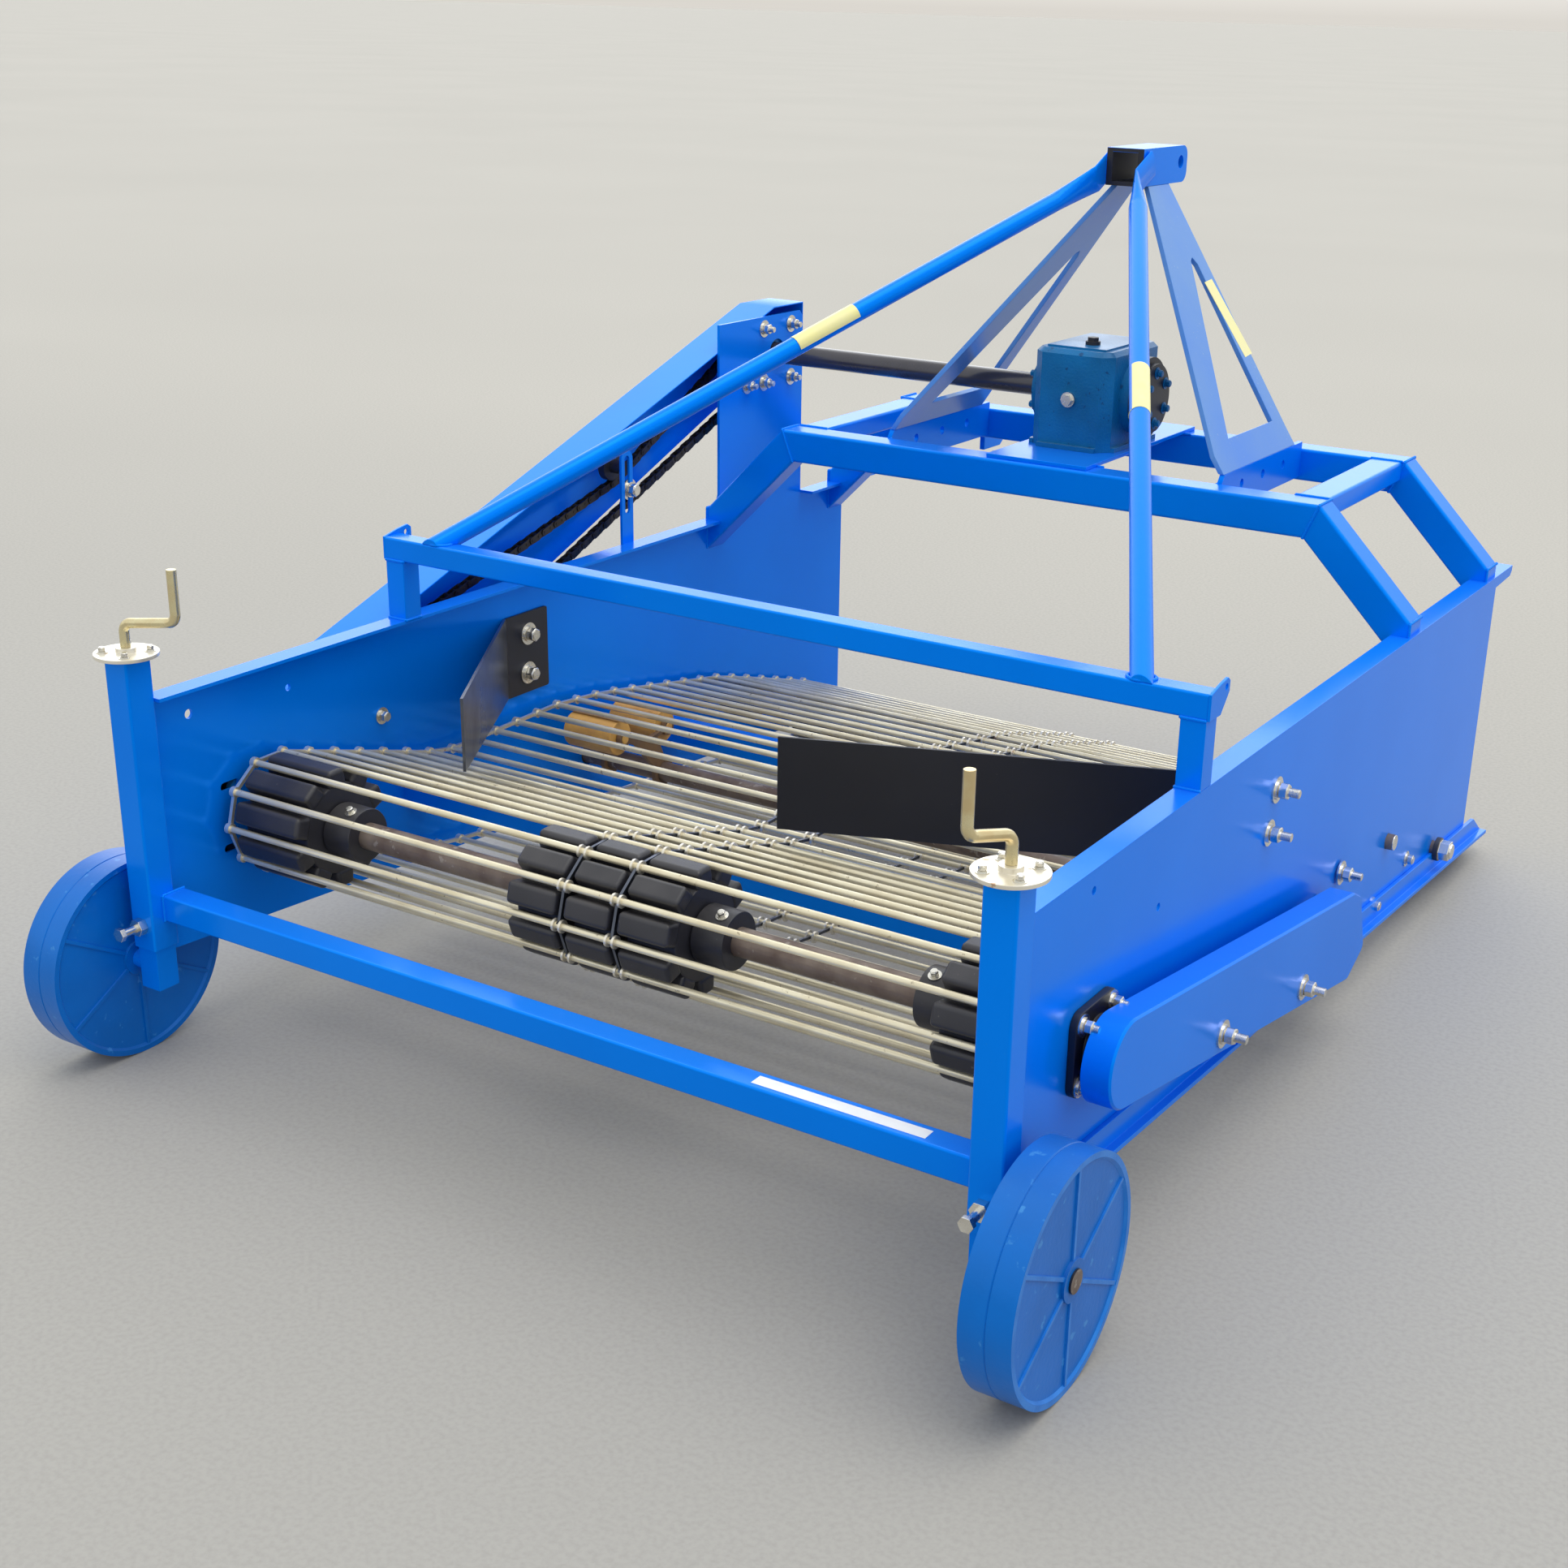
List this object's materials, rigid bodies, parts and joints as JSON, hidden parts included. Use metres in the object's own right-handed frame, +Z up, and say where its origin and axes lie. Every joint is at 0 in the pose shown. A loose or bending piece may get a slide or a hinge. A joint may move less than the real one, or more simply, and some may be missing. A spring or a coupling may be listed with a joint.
{
  "type": "potato digger",
  "caption": "Tractor-mounted two-row potato digger with a rod-link conveyor web, digging share, gearbox and two crank-adjusted depth wheels.",
  "frame": {"origin": "on the floor, under the middle of the machine's overall width and length", "axes": "+X to the machine's right, +Y in the direction of travel (share and hitch in front), +Z up"},
  "size_m": [1.7986, 2.436, 1.417],
  "materials": {
    "blue_paint": "gloss blue enamel",
    "black_rubber": "moulded black rubber",
    "zinc_plate": "yellow zinc plating",
    "rod_steel": "bright spring steel with a yellow tint",
    "brown_steel": "bare steel with light brown rust",
    "black_panel": "near-black enamel",
    "dark_steel": "dark heat-treated steel",
    "orange_paint": "orange-yellow paint",
    "chain_steel": "oiled roller chain"
  },
  "bodies": {
    "root": {"arch_ends": "blue_paint", "arch_posts": "blue_paint", "arch_tube": "blue_paint", "beam_spacers": "blue_paint", "bearings": "blue_paint", "brace_left": "blue_paint", "brace_right": "blue_paint", "chain_case": "blue_paint", "chain_guard": "blue_paint", "chain_idler": "chain_steel", "chain_sprockets": "chain_steel", "conveyor_web": "rod_steel", "crank_left": "zinc_plate", "crank_right": "zinc_plate", "cross_shaft": "black_panel", "deflector": "black_panel", "digging_share": "dark_steel", "drive_chain": "chain_steel", "front_rollers": "black_rubber", "gearbox": "blue_paint", "gearbox_plate": "blue_paint", "headstock_beams": "blue_paint", "headstock_struts": "blue_paint", "idler_bracket": "blue_paint", "jack_flange_left": "zinc_plate", "jack_flange_right": "zinc_plate", "leg_tube_left": "blue_paint", "leg_tube_right": "blue_paint", "lower_hitch_ears": "blue_paint", "mast_brackets": "blue_paint", "mast_head": "blue_paint", "mast_plate_left": "blue_paint", "mast_plate_right": "blue_paint", "pto_shaft": "dark_steel", "rear_cross_tube": "blue_paint", "runner_left": "blue_paint", "runner_right": "blue_paint", "separator_blade": "dark_steel", "set_screws": "zinc_plate", "shaker_rockers": "orange_paint", "shaker_rollers": "orange_paint", "shaker_shaft": "dark_steel", "share_beam": "blue_paint", "side_plate_left": "blue_paint", "side_plate_right": "blue_paint", "support_rollers": "black_rubber", "under_web_tubes": "blue_paint", "web_drive_shaft": "brown_steel", "web_sprockets": "black_rubber"},
    "leg_left": {"inner_leg_left": "blue_paint"},
    "leg_right": {"inner_leg_right": "blue_paint"},
    "wheel_left": {"wheel_left": "blue_paint"},
    "wheel_right": {"wheel_right": "blue_paint"}
  },
  "joints": [
    {"name": "leg_left_slide", "type": "slide", "parent": "root", "child": "leg_left", "axis": [0, 0, -1], "range_m": [-0.012, 0.2]},
    {"name": "leg_right_slide", "type": "slide", "parent": "root", "child": "leg_right", "axis": [0, 0, -1], "range_m": [-0.012, 0.2]},
    {"name": "wheel_left_spin", "type": "hinge", "parent": "leg_left", "child": "wheel_left", "pos_m": [-0.8575, -1.048, 0.17], "axis": [1, 0, 0], "continuous": true},
    {"name": "wheel_right_spin", "type": "hinge", "parent": "leg_right", "child": "wheel_right", "pos_m": [0.8575, -1.048, 0.17], "axis": [1, 0, 0], "continuous": true}
  ]
}
